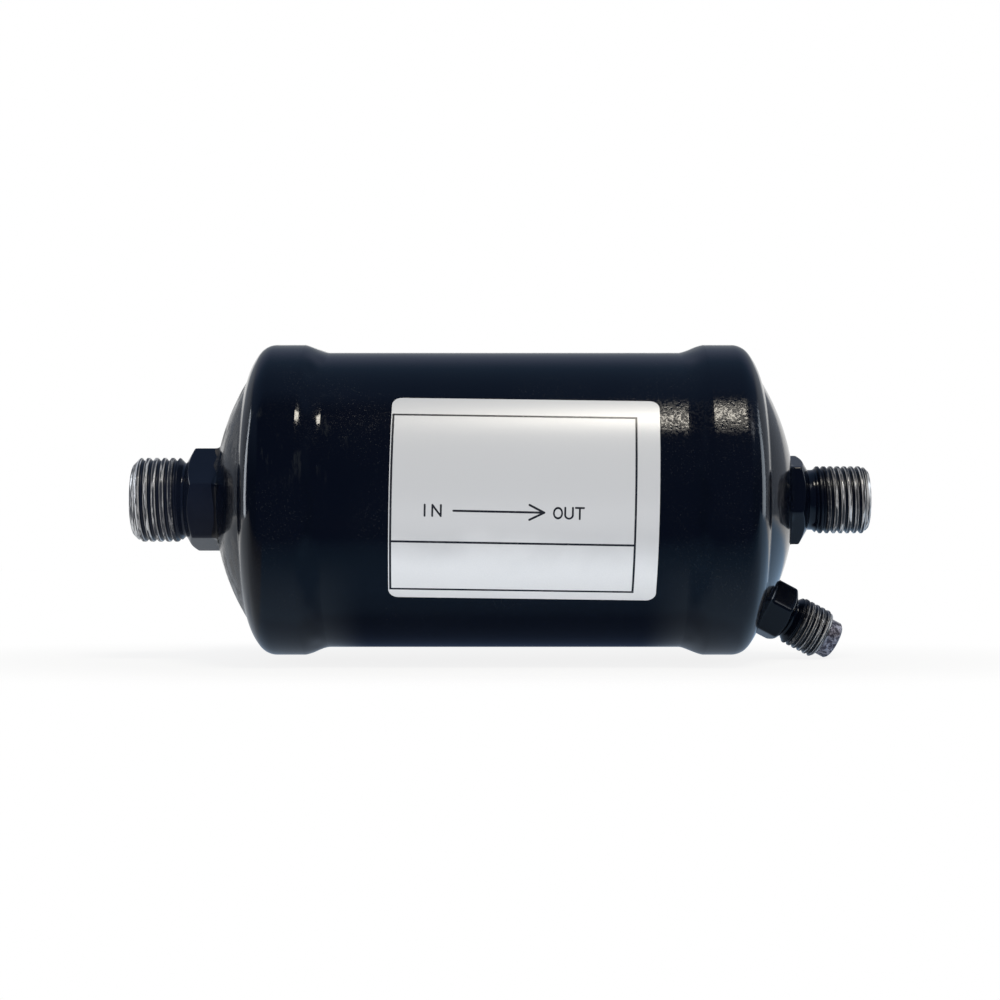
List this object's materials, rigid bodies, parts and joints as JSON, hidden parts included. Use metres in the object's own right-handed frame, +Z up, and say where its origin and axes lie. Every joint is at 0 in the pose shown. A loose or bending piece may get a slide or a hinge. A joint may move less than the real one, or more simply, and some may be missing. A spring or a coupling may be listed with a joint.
{
  "type": "compressor oil separator",
  "caption": "Welded black steel canister that separates oil from refrigerant gas, with a threaded inlet, outlet and angled oil return, a foil label and a mesh pack inside.",
  "frame": {"origin": "on the shell's axis, half-way along the tube", "axes": "+X along the flow from inlet to outlet, +Z up with the oil return low at +X, label faces -Y"},
  "size_m": [0.1745, 0.0738, 0.0749],
  "materials": {
    "shell_paint": "gloss",
    "connector_paint": "gloss",
    "label_foil": "satin",
    "inner_steel": "satin",
    "knitted_wire": "satin",
    "insert_brass": "satin"
  },
  "bodies": {
    "root": {"shell_tube": "shell_paint", "inlet_cap": "shell_paint", "outlet_cap": "shell_paint", "inlet_seam_weld": "shell_paint", "outlet_seam_weld": "shell_paint", "inlet_connector": "connector_paint", "outlet_connector": "connector_paint", "oil_return_connector": "connector_paint", "inlet_braze": "shell_paint", "outlet_braze": "shell_paint", "oil_return_braze": "shell_paint", "label": "label_foil", "inlet_diffuser": "inner_steel", "outlet_standpipe": "inner_steel", "inlet_retaining_ring": "inner_steel", "inlet_screen": "inner_steel", "pad_divider": "inner_steel", "outlet_screen": "inner_steel", "outlet_retaining_ring": "inner_steel", "oil_strainer": "inner_steel", "inlet_mesh_pad": "knitted_wire", "outlet_mesh_pad": "knitted_wire", "metering_insert": "insert_brass"}
  },
  "joints": []
}
